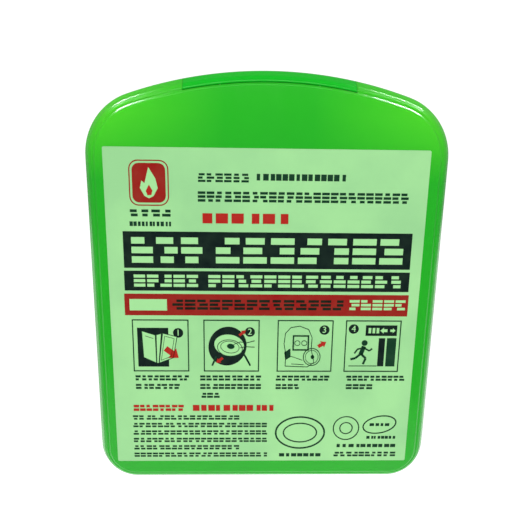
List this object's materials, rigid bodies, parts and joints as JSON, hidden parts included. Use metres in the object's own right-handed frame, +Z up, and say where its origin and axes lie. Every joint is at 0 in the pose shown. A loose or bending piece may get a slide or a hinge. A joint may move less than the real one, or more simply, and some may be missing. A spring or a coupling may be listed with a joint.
{
  "type": "smoke hood",
  "caption": "Filtering smoke hood, vacuum packed in a closed green wall case with a domed top, a bottom-hinged cover and a luminous front label.",
  "frame": {"origin": "centre of the case's flat base", "axes": "+Z up, the labelled cover faces -Y, +X to the right when facing the cover"},
  "size_m": [0.17, 0.098, 0.208],
  "materials": {
    "case_plastic": "gloss moulded, slightly translucent",
    "latch_plastic": "gloss moulded",
    "label_film": "semi-matt luminous vinyl film",
    "steel": "bright drawn",
    "bag_film": "clear vacuum film",
    "hood_fabric": "aluminised flame-retardant cloth",
    "visor_film": "clear polyester film",
    "visor_border": "welded border",
    "elastic_collar": "knitted elastic",
    "reflective_tape": "retroreflective tape",
    "mask_rubber": "moulded silicone rubber",
    "webbing": "woven elastic",
    "black_plastic": "moulded",
    "canister_shell": "moulded",
    "bright_band": "rolled",
    "canister_label": "printed ring",
    "screen_metal": "perforated sheet",
    "filter_paper": "glass-fibre filter",
    "desiccant": "granular",
    "catalyst": "granular",
    "carbon": "granular",
    "gasket_rubber": "moulded",
    "plug_rubber": "moulded",
    "valve_plastic": "moulded",
    "valve_silicone": "thin silicone"
  },
  "bodies": {
    "case_and_pack": {"case_tray": "case_plastic", "hinge_pins": "steel", "bag_front_film": "bag_film", "bag_back_film": "bag_film", "hood_fabric": "hood_fabric", "visor_window": "visor_film", "visor_frame": "visor_border", "neck_seal": "elastic_collar", "reflective_band": "reflective_tape", "half_mask": "mask_rubber", "mask_face_seal": "mask_rubber", "head_straps": "webbing", "canister_front_cap": "canister_shell", "canister_rear_cap": "canister_shell", "canister_rim_band": "bright_band", "canister_label": "canister_label", "front_screen": "screen_metal", "retaining_screens": "screen_metal", "particulate_filter": "filter_paper", "desiccant_bed": "desiccant", "catalyst_bed": "catalyst", "carbon_bed": "carbon", "bed_spring": "steel", "canister_gasket": "gasket_rubber", "hood_clamp_ring": "bright_band", "inhalation_valve_seat": "valve_plastic", "exhalation_valve_body": "black_plastic", "exhalation_valve_cover": "black_plastic"},
    "cover": {"front_cover": "case_plastic", "front_label": "label_film", "latch_pin": "steel"},
    "latch": {"latch_clip": "latch_plastic"},
    "front_plug_body": {"front_plug": "plug_rubber"},
    "rear_plug_body": {"rear_plug": "plug_rubber"},
    "inhalation_flap": {"inhalation_valve_disc": "valve_silicone"},
    "exhalation_flap": {"exhalation_valve_disc": "valve_silicone"},
    "buckle_left": {"strap_buckle_left": "black_plastic"},
    "buckle_right": {"strap_buckle_right": "black_plastic"}
  },
  "joints": [
    {"name": "cover_hinge", "type": "hinge", "parent": "case_and_pack", "child": "cover", "pos_m": [0, -0.01275, 0.0034], "axis": [1, 0, 0], "range_deg": [0, 90]},
    {"name": "latch_pivot", "type": "hinge", "parent": "cover", "child": "latch", "pos_m": [0, -0.0442, 0.2012], "axis": [1, 0, 0], "range_deg": [0, 6], "stiffness_Nm_per_rad": 0.05},
    {"name": "front_plug_pull", "type": "slide", "parent": "case_and_pack", "child": "front_plug_body", "axis": [0, -1, 0], "range_m": [0, 0.006]},
    {"name": "rear_plug_pull", "type": "slide", "parent": "case_and_pack", "child": "rear_plug_body", "axis": [0, 1, 0], "range_m": [0, 0.006]},
    {"name": "inhalation_valve_lift", "type": "slide", "parent": "case_and_pack", "child": "inhalation_flap", "axis": [0, 1, 0], "range_m": [0, 0.0009], "stiffness_N_per_m": 5},
    {"name": "exhalation_valve_lift", "type": "slide", "parent": "case_and_pack", "child": "exhalation_flap", "axis": [0, 0, -1], "range_m": [0, 0.0012], "stiffness_N_per_m": 5},
    {"name": "left_buckle_slide", "type": "slide", "parent": "case_and_pack", "child": "buckle_left", "axis": [0, 0, 1], "range_m": [-0.004, 0.028]},
    {"name": "right_buckle_slide", "type": "slide", "parent": "case_and_pack", "child": "buckle_right", "axis": [0, 0, 1], "range_m": [-0.004, 0.028]}
  ]
}
